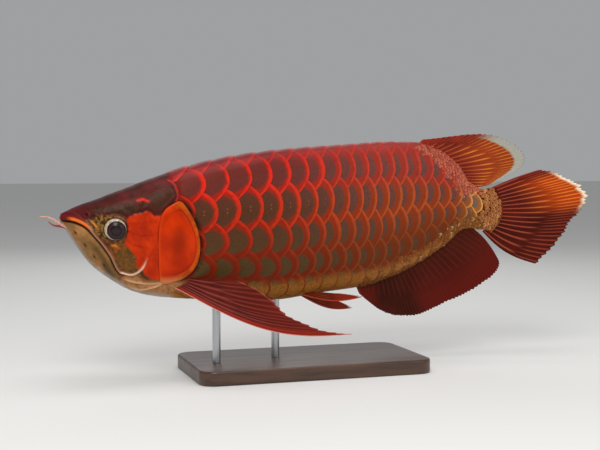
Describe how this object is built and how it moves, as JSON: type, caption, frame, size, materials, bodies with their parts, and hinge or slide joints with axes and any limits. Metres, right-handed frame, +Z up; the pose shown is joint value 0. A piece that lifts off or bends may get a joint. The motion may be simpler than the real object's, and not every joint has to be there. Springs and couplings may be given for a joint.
{
  "type": "asian arowana model",
  "caption": "Life-size still model of a red asian arowana in a swimming pose, with raised scales and rayed fins, held by rods over a flat wooden stand.",
  "frame": {"origin": "middle of the stand base's underside, on the floor", "axes": "+Z up, +X from the snout towards the tail, the fish's left side faces -Y"},
  "size_m": [0.5721, 0.2206, 0.2391],
  "materials": {
    "head_skin": "satin",
    "jaw_skin": "satin",
    "gill_plate": "gloss",
    "scales": "gloss",
    "eye": "gloss",
    "fins": "satin",
    "barbels": "satin",
    "stand_wood": "satin varnish",
    "stand_metal": "brushed"
  },
  "bodies": {
    "root": {"head": "head_skin", "lower_jaw": "jaw_skin", "gill_cover_left": "gill_plate", "gill_cover_right": "gill_plate", "eye_left": "eye", "eye_right": "eye", "barbel_left": "barbels", "barbel_right": "barbels", "torso": "scales", "tail_stalk": "scales", "pectoral_fin_left": "fins", "pectoral_fin_right": "fins", "pelvic_fin_left": "fins", "pelvic_fin_right": "fins", "dorsal_fin": "fins", "anal_fin": "fins", "caudal_fin": "fins", "stand_base": "stand_wood", "stand_rod_front": "stand_metal", "stand_rod_rear": "stand_metal"}
  },
  "joints": []
}
